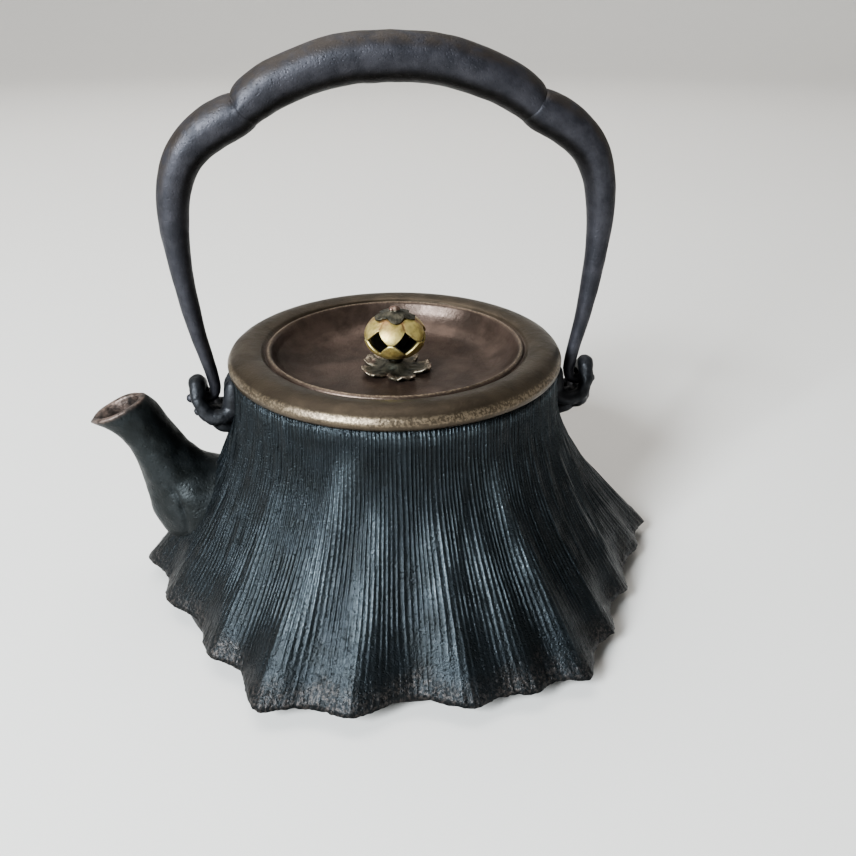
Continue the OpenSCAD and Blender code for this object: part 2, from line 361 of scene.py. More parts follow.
# The handle's rim colour is a painted shade, near black, under the bar
HANDLE_IRON = plain_iron("handle_iron", (0.019, 0.019, 0.024), (0.038, 0.037, 0.044), 0.45, 0.58, 0.7,
                         0.12, rim=(0.009, 0.008, 0.008), top=(0.036, 0.029, 0.025))
WASHER_IRON = plain_iron("washer_iron", (0.03, 0.027, 0.025), (0.06, 0.055, 0.05), 0.5, 0.65, 0.8, 0.1)
LID_BRONZE = patinated("lid_bronze", (0.052, 0.036, 0.028), (0.105, 0.073, 0.058), (0.33, 0.26, 0.18),
                       0.32, 0.44, metal=0.7, patch_mm=16, other=(0.066, 0.05, 0.034))
LEAF_BRONZE = patinated("leaf_bronze", (0.032, 0.032, 0.025), (0.11, 0.1, 0.075), (0.36, 0.3, 0.23),
                        0.4, 0.54, patch_mm=3, other=(0.16, 0.085, 0.07))
BRASS = patinated("knob_brass", (0.36, 0.27, 0.085), (0.62, 0.5, 0.19), (0.75, 0.66, 0.32), 0.36, 0.5,
                  metal=0.75, depth_mm=0.06, patch_mm=3, other=(0.30, 0.175, 0.08),
                  hollow=(0.02, 0.018, 0.012))


# ---------------------------------------------------------------- body

# Pleats of the hem as [ridge's direction in degrees, radius at the hem, depth of the valley after it]
PLEATS = np.array([
    [-88, 90.5, 4], [-71, 86, 5.5], [-47, 86.8, 5.3], [-30.5, 96, 3.2], [-14.5, 91.8, 7], [8.5, 90.6, 2.4],
    [21, 91.8, 2.8], [30.5, 96, 3.4], [44, 89.3, 4.3], [60, 85.5, 4], [79, 88.6, 2.2], [88.5, 94.5, 6],
    [104, 90, 5], [122, 92, 6], [139, 89, 5], [155, 92, 7], [173, 90, 5], [188, 93, 6], [205, 90, 6],
    [222, 88, 5], [238, 91, 6], [254, 88, 5], [272, 90.5, 4]])
HEM_R = 90
PLEAT_TOP = 56
NECK_R = 53.8
# Radius over the ridges at each height, from the hem up to the rim
OUTLINE = [[HEM_Z, HEM_R], [16, 81.6], [26, 73.2], [36, 66], [46, 60.2], [56, 56.2], [66, NECK_R + 0.4],
           [RIM_Z, NECK_R]]
# The water space, as radius and height, from the mouth down to the opening that the pan closes
INSIDE = [[45, RIM_Z], [45, 73], [49, 70], [51, 56], [54, 46], [59.5, 36], [65.5, 26], [70, 18], [73, 12.4],
          [73, HEM_Z]]
COMB_LINES = 288
COMB_DEPTH = 0.7
# Width of the hem's lower edge
HEM_LIP = 3.6
# Direction of the wall beside the spout, in degrees, where the crests are painted less bright
SPOUT_SIDE = 290
# Soft folds that run up the wall: [direction at the hem, direction at the top end, the top end's height,
# half width in degrees, height of the fold, how bright it is painted: polish from rubbing and a painted
# highlight, high on the lit folds at the left and low on the shaded right]
RUNS = [[-46, -42, 56, 4, 0.8, 0.25], [-30, -19, 74, 3.6, 1.6, 1], [-15, -10, 60, 3.6, 0.6, 0.6],
        [4, 6, 54, 4.4, 0.9, 0.7], [19, 15, 50, 4, 0.6, 0.6], [31, 26, 66, 3.2, 1.5, 0.8],
        [62, 58, 58, 5, 0.8, 0.1], [88, 84, 64, 6, 0.8, 0.1], [122, 120, 60, 6, 1, 0.3],
        [155, 158, 66, 7, 1.2, 0.4], [205, 202, 60, 6, 0.9, 0.3], [238, 240, 64, 6, 1.1, 0.4]]


def hem_offset(angle):
    """How far the hem stands out from its mean radius, by direction in degrees."""
    turn = (np.degrees(angle) - PLEATS[0, 0]) % 360 + PLEATS[0, 0]
    i = np.clip(np.searchsorted(PLEATS[:, 0], turn, side="right") - 1, 0, len(PLEATS) - 2)
    a, b = PLEATS[i], PLEATS[i + 1]
    u = (turn - a[..., 0]) / (b[..., 0] - a[..., 0])
    ridge = a[..., 1] + (b[..., 1] - a[..., 1]) * smooth(u)
    return ridge - HEM_R - a[..., 2] * ((1 - np.cos(2 * np.pi * u)) / 2) ** 0.8


def skirt(angle, z):
    """Radius of the wall, and how bright it is painted there, from 0 to 1: polish from rubbing and a
    painted highlight.
    """
    outline = curve(OUTLINE, 6)
    fade = np.clip((PLEAT_TOP - z) / (PLEAT_TOP - HEM_Z), 0, 1) ** 1.6
    r = np.interp(z, outline[:, 0], outline[:, 1]) + hem_offset(angle) * fade
    rub_and_glint = 0
    for low, high, top, width, rise, glint_and_wear in RUNS:
        centre = low + (high - low) * np.clip((z - HEM_Z) / (top - HEM_Z), 0, 1)
        off = (np.degrees(angle) - centre + 180) % 360 - 180
        fold = np.exp(-(off / width) ** 2)
        r = r + rise * fold * smooth((top - z) / 16) * smooth((z - 8) / 24)
        bright = glint_and_wear * fold * smooth((top - z) / 12) * (0.3 + 0.7 * smooth((z - 12) / 24))
        rub_and_glint = np.maximum(rub_and_glint, bright)
    return r, rub_and_glint


def comb(angle, z):
    """Combed grooves: crests between them from 0 to 1, strongest on the upper two thirds."""
    ring = np.stack([np.sin(angle), -np.cos(angle), 0 * angle], -1)
    along = np.stack([np.sin(angle) * 90, -np.cos(angle) * 90, z], -1)
    wander = 0.6 * noise(ring * 100, 9, 1) + 0.35 * noise(along * [1, 1, 0.6], 12, 2)
    phase = COMB_LINES * angle / 2 + np.pi * wander
    crest = 1 - np.abs(np.sin(phase))
    broken = 0.65 + 0.6 * noise(along * [1, 1, 0.25], 1.7, 3)
    fade = (0.25 + 0.75 * smooth((z - 11) / 15)) * smooth((RIM_Z + 0.5 - z) / 2)
    return crest ** 1.6 * np.clip(broken, 0.1, 1.2) * fade


def make_body():
    """The shell as one closed skin: outside from rim to hem, under the hem, inside and over the rim. Its
    rows lie closer together towards the hem."""
    cols, rows = 1800, 37
    angle, sx, sy = around(cols)
    down = np.linspace(0, 1, rows)[:, None]
    z = RIM_Z - (RIM_Z - HEM_Z) * (1.35 * down - 0.35 * down ** 2) + 0 * angle
    a = angle[None, :] + 0 * z
    crest = comb(a, z)
    r, rub_and_glint = skirt(a, z)
    skin = ring_at(r, z, sx, sy)
    lumps = 0.22 * noise(skin, 12, 4) + 0.1 * noise(skin, 4, 6)
    grains = 0.3 * noise(skin, 1.9, 7) * smooth((20 - z) / 10)
    r = r + COMB_DEPTH * (crest - 0.3) + lumps * smooth((RIM_Z - z) / 4) + grains
    chips = 0.35 * noise(skin * [1, 1, 0], 3, 8) + 0.3 * noise(skin * [1, 1, 0], 1.4, 9)
    z = z - smooth((12 - z) / 6) * chips
    outer = ring_at(r, z, sx, sy)

    hem_r, hem_z = r[-1], z[-1]
    lip_r = hem_r - HEM_LIP
    pan_r = PAN[1][0] + 0.6
    hollow = np.clip((hem_r - 3.4 - pan_r) * 0.9, 0.05, 6)
    under = [(hem_r - share * 3.2, hem_z + lift) for share, lift in ((0.25, -0.15), (0.7, -0.1), (1, 0.5))]
    under += [(lip_r * share + pan_r * (1 - share), HEM_Z + hollow * rise)
              for share, rise in ((1, 0.6), (0.6, 1), (0.2, 0.7))]
    under.append((pan_r, HEM_Z + 0.05))
    under = np.array([ring_at(np.maximum(ur, pan_r), uz, sx, sy) for ur, uz in under])

    inner = np.array([ring_at(wr, wz, sx, sy) for wr, wz in INSIDE[::-1]])
    rim = ring_at(NECK_R - 0.9, RIM_Z, sx, sy)[None]
    points = np.concatenate([outer, under, inner, rim])
    inside = np.zeros(points.shape[:2])
    inside[rows + len(under):rows + len(under) + len(inner)] = 1
    crests = np.zeros(points.shape[:2])
    # collar: a painted highlight in a band just under the rim
    collar = 0.6 * smooth((z - RIM_Z + 5) / 3)
    patchy_glint = np.clip(np.maximum(rub_and_glint, collar) * (0.9 + 0.9 * noise(skin * [1, 1, 0.4], 7, 5)), 0, 1)
    # Crests are painted less bright on the wall beside the spout
    spout_side_dim = np.exp(-((np.degrees(a) - SPOUT_SIDE) / 32) ** 2)
    # crest outside: comb crests and folds polished by rubbing, with a painted highlight on the lit folds
    # and under the rim
    crests[:rows] = np.clip((1 - 0.7 * spout_side_dim) * (0.3 * crest + patchy_glint * (0.2 + 0.85 * crest)), 0, 1)
    faces = grid_faces(len(points), cols, loop=True)
    return mesh_piece("kettle_body", points.reshape(-1, 3), faces, IRON, "kettle",
                      ["body_shell"], {"crest": crests, "inner": inside})


def make_pan():
    """The base casting: a low foot ring, a plain edge under the hem, and a lip inside the shell."""
    edge_r, top = PAN[1][0], HEM_Z - 0.15
    lip_r, lip_z, floor_z = 72.7, PAN[1][2], 4
    outline = [[0.01, 0.5], [9, 0.45], [10.5, 0.2], [12, 0.5], [62, 0.5], [64, 0], [edge_r - 1, 0],
               [edge_r, 1], [edge_r, top - 1], [edge_r - 1, top], [lip_r, top], [lip_r, lip_z],
               [lip_r - 2.7, lip_z], [lip_r - 6.7, floor_z], [0.01, floor_z]]
    outline = refine(rounded(outline, 0.8, closed=False), 4)
    cols = 240
    points = lathe(outline, cols, 0.12, 6, 11)
    points[..., 2] = np.maximum(points[..., 2], 0)
    faces = grid_faces(len(points), cols, ends=True, flip=True)
    return mesh_piece("base_pan_casting", points.reshape(-1, 3), faces, PAN_IRON, "kettle",
                      ["base_pan"])


# ---------------------------------------------------------------- spout

# Sections from the mouth to the root as [lower x, lower z, upper x, upper z, half width]
SPOUT_ROWS = [
    [-101, 60.4, -83.6, 67.4, 8.2], [-95.5, 56.4, -80.2, 64.4, 8], [-91.3, 51, -77.6, 59.6, 8.2],
    [-89, 45, -74.6, 54.6, 8.8], [-88, 38.5, -71, 49, 9.6], [-87, 31.2, -67, 45, 11],
    [-86, 24, -62.6, 42.6, 13], [-82, 16.2, -57.6, 41.8, 14.5], [-76, 12.5, -53.5, 41.4, 15.5]]
SPOUT_WALL = 2.4
# Middle of the crease beside the spout's root, and the way that the crease runs
CREASE_X, CREASE_Z = -73.6, 30
CREASE_UP, CREASE_OUT = 0.98, 0.2


def spout_rings(rows, inset, sides):
    """Oval rings around the spout, each set in by a wall's thickness."""
    a = np.arange(sides) / sides * 2 * np.pi
    rings = []
    for x0, z0, x1, z1, width in rows:
        low, high = np.array([x0, z0]), np.array([x1, z1])
        half = np.linalg.norm(high - low) / 2
        way = (high - low) / (2 * half)
        mid = (high + low) / 2
        s = (half - inset) * np.cos(a)
        rings.append(np.stack([mid[0] + way[0] * s, (width - inset) * np.sin(a), mid[1] + way[1] * s], -1))
    return np.array(rings)


def make_spout():
    """The beak: a dented tube with a crease and a bulge by its root, and a wavy lip with rust on it."""
    sides = 128
    rows = curve(SPOUT_ROWS, 9)
    outer = spout_rings(rows, 0, sides)
    centre = outer.mean(axis=1, keepdims=True)
    out = outer - centre
    out /= np.linalg.norm(out, axis=-1, keepdims=True)
    x, y, z = outer[..., 0], outer[..., 1], outer[..., 2]
    dents = 0.45 * noise(outer, 7, 21) + 0.2 * noise(outer, 3, 22)
    across = (x - CREASE_X) * CREASE_UP + (z - CREASE_Z) * CREASE_OUT
    along = (z - CREASE_Z) * CREASE_UP - (x - CREASE_X) * CREASE_OUT
    across = across + 0.02 * along ** 2
    crease = np.exp(-(across / 0.8) ** 2) * np.exp(-((along - 2) / 8) ** 4)
    bulge = np.exp(-((across - 4.6) / 3.8) ** 2) * np.exp(-((along + 3) / 11) ** 2)
    sides_only = smooth((np.abs(y) - 5) / 4)
    outer = outer + out * (dents + (0.6 * bulge - 0.8 * crease) * sides_only)[..., None]
    inner = spout_rings(rows[::-1], SPOUT_WALL, sides)
    for back, wall in ((1, 2), (2, 2.1), (3, 2.2), (4, 2.3)):
        inner[-back] = spout_rings(rows[back - 1:back], wall, sides)[0]
    lip = np.concatenate([spout_rings(rows[:1], inset, sides) for inset in (1.5, 0.5)])
    lip += np.array([-0.2, 0, 0.35])
    points = np.concatenate([outer, inner, lip])
    wave = 0.4 * noise(points[-1], 6, 24)
    for ring in (0, -1, -2, -3):
        points[ring, :, 2] += wave
    edge = np.zeros(points.shape[:2])
    edge[:3] = np.array([0.8, 0.45, 0.1])[:, None]
    edge[-16:] = np.linspace(0.3, 1, 16)[:, None] ** 0.5
    edge *= 0.85 + 0.4 * noise(points, 3, 23)
    faces = grid_faces(len(points), sides, loop=True, flip=True)
    return mesh_piece("spout_casting", points.reshape(-1, 3), faces, SPOUT_IRON, "kettle",
                      ["spout"], {"edge": np.clip(edge, 0, 1)})


# ---------------------------------------------------------------- lugs

def tube(path, sides=20):
    """Points and faces of a round bar along rows of x, y, z and radius, with round ends."""
    p = np.array(path, float)
    start, end = p[0], p[-1]
    way = np.gradient(p[:, :3], axis=0)
    way /= np.linalg.norm(way, axis=1, keepdims=True)
    side = np.cross(way[0], [0.31, 0.83, 0.46])
    rings = []
    a = np.arange(sides) / sides * 2 * np.pi
    for q, t in zip(p, way):
        side = side - t * np.dot(side, t)
        side /= np.linalg.norm(side)
        other = np.cross(t, side)
        rings.append(q[:3] + q[3] * (np.outer(np.cos(a), side) + np.outer(np.sin(a), other)))
    for ring, q, t in ((rings[0], start, -way[0]), (rings[-1], end, way[-1])):
        caps = [q[:3] + (ring - q[:3]) * math.cos(b) + t * q[3] * math.sin(b) for b in (0.5, 1.0, 1.45)]
        rings = caps[::-1] + rings if ring is rings[0] else rings + caps
    rings = np.array(rings)
    return rings.reshape(-1, 3), grid_faces(len(rings), sides, ends=True)


def fused(parts, voxel, passes):
    """Fuses closed shapes into one skin with soft joins, as a casting has. voxel is the size of its
    facets, and passes is how often it is smoothed."""
    points, faces, count = [], [], 0
    for p, f in parts:
        points.append(p)
        faces += [[i + count for i in face] for face in f]
        count += len(p)
    mesh = bpy.data.meshes.new("fusing")
    mesh.from_pydata(np.concatenate(points).tolist(), [], faces)
    piece = bpy.data.objects.new("fusing", mesh)
    bpy.context.collection.objects.link(piece)
    remesh = piece.modifiers.new("skin", "REMESH")
    remesh.mode, remesh.voxel_size = "VOXEL", voxel
    soft = piece.modifiers.new("soft", "SMOOTH")
    soft.factor, soft.iterations = 0.5, passes
    made = bpy.data.meshes.new_from_object(piece.evaluated_get(bpy.context.evaluated_depsgraph_get()))
    points = np.empty(len(made.vertices) * 3)
    made.vertices.foreach_get("co", points)
    faces = [list(f.vertices) for f in made.polygons]
    bpy.data.objects.remove(piece)
    bpy.data.meshes.remove(mesh)
    bpy.data.meshes.remove(made)
    return points.reshape(-1, 3), faces


# Distance from the kettle's axis to the eye of a lug and to the wall that the lug's root is sunk in
EYE_X = 64.4
ROOT_X = 53.8
EYE_R = 5


def lug_eye(lobe, tuck):
    """The ring around the hook as rows of x, y, height over the pivot and radius, thinner at its sides."""
    rows = []
    for a in np.linspace(0.05, 2 * np.pi + 0.05, 49):
        y, z = EYE_R * math.sin(a), EYE_R * math.cos(a)
        x = EYE_X - 0.4 + 1.3 * math.cos(a) + 0.6 * math.sin(a) ** 2 - tuck * smooth(-math.cos(a))
        thin = 0.55 * math.exp(-((z - 0.8) / 2.2) ** 2) + 0.7 * lobe * math.exp(-((z + 2.4) / 1.1) ** 2)
        rows.append([x, y, z, 2.35 - thin])
    return rows


def make_lug(name, side, node, lobe):
    """A knotted twig: an eye for the hook, a lobe above and below it, and a gnarled root on the neck. With
    lobe at 1 the lower lobe is thick and stands out, and at 0 it is slender and tucked in."""
    tuck = 2 * (1 - lobe)
    near, bulk = EYE_X - tuck, 0.2 * lobe
    # Rows of x, y, height over the pivot and radius
    bars = [
        lug_eye(lobe, tuck),
        curve([[EYE_X + 1, 1.2, 5.2, 2.4], [EYE_X + 1.4, 0, 5.9, 2.7 + bulk],
               [EYE_X + 1.4, -2, 5.4, 2.6 + bulk]], 6),
        curve([[EYE_X + 1.4, -2.6, 4.8, 2.5], [EYE_X + 1.1, -5.2, 1.4, 2.2],
               [EYE_X - 0.6 - 0.3 * tuck, -5.8, -2.4, 2.4 - 0.9 * lobe], [near - 1, -5.4, -5, 2.6],
               [near - 1.4, -3.4, -6.6, 2.3]], 8),
        curve([[near - 0.6, -3, -5.8, 2.4 + 0.8 * lobe],
               [near - 0.6 + 0.8 * lobe, -1, -5.6, 2.6 + 0.9 * lobe], [near - 0.6, 1, -5.6, 2.5]], 6),
        curve([[EYE_X, 5, -0.8, 1.8], [EYE_X - 3.5, 5.8, -4.6, 1.9], [ROOT_X, 6.3, -5, 2.4]], 8),
        curve([[EYE_X + 0.6, -5.2, -0.5, 2.1], [EYE_X - 1.4, -6, -3.6, 2.3], [58.4, -5.8, -4.8, 2.6],
               [ROOT_X - 0.2, -4.6, -2.5, 2.6]], 8),
        curve([[EYE_X - 1.2, 0, -5.8, 2.8], [EYE_X - 4, -1, -5.9, 3], [57, 0.4, -6.8, 3.4],
               [ROOT_X, 0, -8, 3.6]], 8),
        curve([[EYE_X - 3, -1.6, -6.6, 2.4], [59, -2.4, -9, 2.3], [ROOT_X + 0.8, -1, -10.4, 2.4]], 8),
        curve([[EYE_X + 0.6, -1.6, -3.6, 1.6], [EYE_X + 2, -2.2, -3.9, 1.4]], 4),
        curve([[ROOT_X + 0.2, 0, 5, 3.2], [ROOT_X + 0.6, 0, 0, 3.2], [56, 0, -5.5, 3]], 8),
    ]
    for way in (-1, 1):
        bars.append(curve([[ROOT_X + 0.1, 3.6 * way, 4.4, 3.2], [ROOT_X + 0.2, 4 * way, 0.5, 3.5],
                           [ROOT_X + 1, 2.8 * way, -4, 3.6]], 8))
    bars = [np.array(bar) + [0, 0, PIVOT_Z, 0] for bar in bars]
    points, faces = fused([tube(bar) for bar in bars], 0.36, 5)
    away = points - np.array([EYE_X - 2, 0, PIVOT_Z - 2])
    away /= np.linalg.norm(away, axis=1, keepdims=True)
    knots = 0.4 * noise(points, 5, 31 + side) + 0.12 * noise(points, 1.6, 33 + side)
    points = points + away * knots[:, None]
    points[:, 0] *= side
    if side < 0:
        faces = [face[::-1] for face in faces]
    return mesh_piece(name, points, faces, LUG_IRON, "kettle", [node])


# ---------------------------------------------------------------- handle

# Centreline as [x, z, half thickness, half width] for x > 0, from the top to the hook's tip
GRIP_PATH = [[0, 170.1, 6.9, 7.4], [12, 169.4, 6.9, 7.4], [22, 167.1, 6.8, 7.3], [32, 163.5, 6.6, 7.1],
             [40, 159, 6.3, 6.8], [44.7, 155.5, 6, 6.6]]
END_PATH = [[43.4, 156.5, 5, 5.5], [44.5, 155.7, 5.9, 6.5], [46, 154.7, 6.1, 6.7], [48.5, 153.4, 6.35, 6.8],
            [52.5, 151.2, 6.4, 6.8], [58, 147, 6, 6.4], [62.3, 141.4, 5.5, 5.9], [65.2, 133.4, 5, 5.3],
            [66.4, 123, 4.3, 4.6], [66.2, 112, 3.6, 3.9], [65.1, 100, 3, 3.3], [63.5, 88.5, 2.5, 2.8],
            [61.4, 78, 2.1, 2.5], [60.4, 72, 2, 2.2], [60.3, 69.3, 1.9, 1.9], [61.1, 67, 1.88, 1.88],
            [63.4, PIVOT_Z, 1.85, 1.85], [66.4, PIVOT_Z, 1.8, 1.8], [68.6, PIVOT_Z, 1.6, 1.6],
            [69.7, PIVOT_Z, 0.9, 0.9], [69.9, PIVOT_Z, 0.05, 0.05]]


def handle_rings(path, sides):
    """Rings around the centreline in the XZ plane, a little flattened as if hammered."""
    p = np.asarray(path, float)
    way = np.gradient(p[:, :2], axis=0)
    way /= np.linalg.norm(way, axis=1, keepdims=True)
    a = np.arange(sides) / sides * 2 * np.pi
    normal = np.stack([-way[:, 1], way[:, 0]], 1)
    s = p[:, 2:3] * np.cos(a)
    x, z = p[:, 0:1] + normal[:, 0:1] * s, p[:, 1:2] + normal[:, 1:2] * s
    return np.stack([x, p[:, 3:4] * np.sin(a), z], -1)


def hammered(rings, depth, seed):
    """Dents a bar unevenly, less so where it is thin."""
    centre = rings.mean(axis=1, keepdims=True)
    out = rings - centre
    size = np.linalg.norm(out, axis=-1, keepdims=True)
    out = out / np.maximum(size, 1e-6)
    push = depth * noise(rings, 9, seed) + depth * 0.5 * noise(rings, 3.5, seed + 1)
    return rings + out * (push[..., None] * np.minimum(1, size / 3))


# Distance of the joint between grip and leg from the middle
SEAM_X = 44.7
HANDLE_SIDES = 96


def seam(rings, reach, cuff):
    """Leans the joint between grip and leg: a notch above, and a cuff that laps the grip from below."""
    sides = rings.shape[1]
    upper = np.cos(np.arange(sides) / sides * 2 * np.pi)
    centre = rings.mean(axis=1, keepdims=True)
    along = np.gradient(centre[:, 0], axis=0)
    along /= np.maximum(np.linalg.norm(along, axis=1, keepdims=True), 1e-6)
    inwards = -np.sign(along[:, :1] * centre[:, 0, :1])
    near = np.abs(centre[:, 0, :1]) - SEAM_X
    lean = (1.2 + 1.2 * upper + reach * smooth(-upper)) * np.exp(-(near / 5) ** 2)
    notch = 0.17 * smooth(upper * 1.6) * np.exp(-np.abs(near) / 1.4)
    swell = cuff * smooth(0.25 - upper) * np.exp(-((near - 1) / 3.5) ** 2)
    rings = rings + (inwards * lean)[..., None] * along[:, None, :]
    return centre + (rings - centre) * (1 - notch + swell)[..., None]


def handle_shades(rings):
    """Browner on the top, and near black below as a painted shade on the bar's underside, both on the upper
    part of the bail only.
    """
    upper = np.cos(np.arange(rings.shape[1]) / rings.shape[1] * 2 * np.pi)
    high = smooth((rings[..., 2] - 118) / 30)
    return {"top": smooth((upper - 0.35) / 0.4) * high, "edge": smooth((-upper - 0.3) / 0.4) * high}


def make_grip():
    """The thick middle of the bail, mirrored from its right half."""
    half = curve(GRIP_PATH, 14)
    left = half[:0:-1].copy()
    left[:, 0] *= -1
    rings = seam(hammered(handle_rings(np.vstack([left, half]), HANDLE_SIDES), 0.16, 41), 1.2, 0)
    faces = grid_faces(len(rings), HANDLE_SIDES, ends=True)
    return mesh_piece("handle_grip_bar", rings.reshape(-1, 3), faces, HANDLE_IRON, "handle",
                      ["handle_grip"], handle_shades(rings))


def make_handle_end(name, side, node):
    """A shoulder and leg of the bail, down to the hook in the lug's eye."""
    rings = seam(hammered(handle_rings(curve(END_PATH, 8), HANDLE_SIDES), 0.15, 45 + side), 1.7, 0.03)
    shades = handle_shades(rings)
    points = rings.reshape(-1, 3)
    points[:, 0] *= side
    faces = grid_faces(len(rings), HANDLE_SIDES, ends=True, flip=side < 0)
    return mesh_piece(name, points, faces, HANDLE_IRON, "handle", [node], shades)


# ---------------------------------------------------------------- lid

def make_lid():
    """The lid: a dished floor, a thin bead, a rolled flange, and a collar below that sits in the mouth."""
    floor_z, under_z, bead_r, rim_r = 72.8, LID[0][2] + 6.95, 41.7, LID[1][0]
    hole_r = 1.96
    top = curve([[8, floor_z], [14, floor_z], [30, 73.5], [35.5, 75.2], [38.8, 78.2], [40.2, 80.8],
                 [bead_r - 0.9, 81.9], [bead_r - 0.1, 82.5], [bead_r + 0.7, 82.1], [bead_r + 1.15, 81.5],
                 [bead_r + 1.8, 81.8], [44.6, 82.7], [48, 83.3], [51, 82.9], [53.6, 81.6], [54.8, 80],
                 [rim_r, 79], [54.7, 77.8], [53.6, under_z]], 6)
    below = rounded([[53.6, under_z], [44.5, under_z], [44.5, 74], [42, 73.3], [36, 71.6], [30, 70.6],
                     [hole_r, 70]], 0.6, closed=False)
    outline = np.vstack([[[hole_r, floor_z]], top, refine(below, 3)[1:]])
    cols = 360
    points = lathe(outline, cols, 0.07, 7, 51)
    r, z = np.hypot(points[..., 0], points[..., 1]), points[..., 2]
    bead = np.exp(-((r - bead_r) / 0.5) ** 2) * (z > 80)
    lip = smooth((r - 50.5) / 3.5) * (z > 77.5)
    # crest: the bead polished by rubbing, and a painted highlight along the lip
    crest = np.clip(0.6 * bead + 0.55 * lip * smooth((z - 78.5) / 1.5) * smooth((81.8 - z) / 1), 0, 1)
    flange = smooth((r - 42.5) / 1.5)
    faces = grid_faces(len(points), cols, loop=True, flip=True)
    return mesh_piece("lid_casting", points.reshape(-1, 3), faces, LID_BRONZE, "lid", ["lid"],
                      {"crest": crest, "other": flange})


# ---------------------------------------------------------------- knob

PETALS = 6
BUD_R = BUD_LOW[1][0]
BUD_Z = BUD_LOW[1][2]
BUD_HALF = 7.9
BUD_WALL = 1.2
# Direction of the first diamond hole, and how far the holes reach from the equator
FIRST_HOLE = math.radians(17)
HOLE_LIFT = math.radians(32)


def petal_ring(name, node, upward):
    """Half the openwork bud: petals that reach the equator between diamond holes. They point up in the
    lower half and down in the upper one."""
    per_petal, steps = 28, 22
    cols = PETALS * per_petal
    angle = around(cols)[0] + FIRST_HOLE
    sx, sy = np.sin(angle), -np.cos(angle)
    u = (np.arange(cols) % per_petal) / per_petal
    from_tip = np.abs(u - 0.5) * 2
    neck = 0.13
    t = np.clip((from_tip - neck) / (1 - neck), 0, 1)
    edge = HOLE_LIFT * (t ** 1.1 if upward else t ** 1.25)
    end = math.radians(76 if upward else 63)
    share = np.linspace(0, 1, steps)[:, None]
    lift = edge + (end - edge) * share
    crown = np.cos((u - 0.5) * np.pi) ** 0.5
    dome = 0.55 * crown * np.sin(np.clip(share * 1.15 + 0.15, 0, 1) * np.pi) ** 0.5 - 0.35
    curl = 0.3 * np.exp(-share * 7)
    sign, equator = (-1, BUD_Z) if upward else (1, BUD_Z + 0.12)
    walls = []
    for inset in (0, BUD_WALL):
        r = BUD_R - inset + dome + curl
        h = BUD_HALF - inset * 0.8 + dome * 0.6
        walls.append(ring_at(r * np.cos(lift), equator + sign * h * np.sin(lift), sx, sy))
    points = np.concatenate([walls[0], walls[1][::-1]])
    crest, tawny, hollow = (np.zeros(points.shape[:2]) for _ in range(3))
    crest[:steps] = np.clip(0.15 * crown + 0.7 * np.exp(-share * 12), 0, 1)
    tawny[:steps] = smooth(1.3 * (1 - crown) + 0.55 * share + 0.5 * noise(points[:steps], 2, 65) - 0.1)
    # The inner walls take the hollow colour: painted shade inside the bud
    hollow[steps:] = 1
    faces = grid_faces(len(points), cols, loop=True, flip=not upward)
    return mesh_piece(name, points.reshape(-1, 3), faces, BRASS, "knob", [node],
                      {"crest": crest, "other": tawny, "hollow": hollow})


# Directions of the rosette's lobes, in degrees from the front towards +X
LOBES = [-136, -64, 8, 80, 152]


def make_rosette():
    """A leaf of five crinkled lobes with upturned edges around the stem."""
    cols, steps = 360, 30
    angle, sx, sy = around(cols)
    base, hole_r = SEAT[0][2], 2.0
    share = np.linspace(0, 1, steps)[:, None]
    off = np.min([np.abs((np.degrees(angle) - lobe + 180) % 360 - 180) for lobe in LOBES], axis=0)
    lobe = np.exp(-(off / 29) ** 6)
    scallop = np.abs(np.cos(np.radians(off) * 8)) ** 0.6
    ragged = 0.3 * noise(ring_at(9, 0, sx, sy), 1.8, 62)
    edge = 7.4 + 4.2 * lobe + 0.5 * lobe * scallop + ragged
    r = hole_r + (edge - hole_r) * share
    cup = (0.9 * lobe + 0.25 * np.cos(np.radians(off) * 16)) * share ** 3
    rib = 0.45 * np.exp(-(off / 5) ** 2) * share * (1 - share)
    neck = 2.1 * np.exp(-((r - hole_r) / 1.8) ** 2)
    top_z = base + 0.9 + neck + cup + rib
    top_z = top_z + 0.4 * share * noise(ring_at(r, top_z, sx, sy), 1.7, 61)
    top = ring_at(r, top_z, sx, sy)
    under_z = np.maximum(base, top_z - 1.0)[::-1]
    under = ring_at(r[::-1] * 0.98, under_z, sx, sy)
    under[-1] = ring_at(hole_r, base, sx, sy)
    points = np.concatenate([top, under])
    crest, warm = np.zeros(points.shape[:2]), np.zeros(points.shape[:2])
    crest[:steps] = np.clip(smooth((share - 0.62) / 0.3) * (0.35 + 0.65 * lobe), 0, 1)
    warm[:steps] = smooth(noise(top, 4, 63) * 1.5) * smooth((share - 0.35) / 0.3)
    faces = grid_faces(len(points), cols, loop=True, flip=True)
    return mesh_piece("knob_rosette", points.reshape(-1, 3), faces, LEAF_BRONZE, "knob",
                      ["knob_seat"], {"crest": crest, "other": warm})


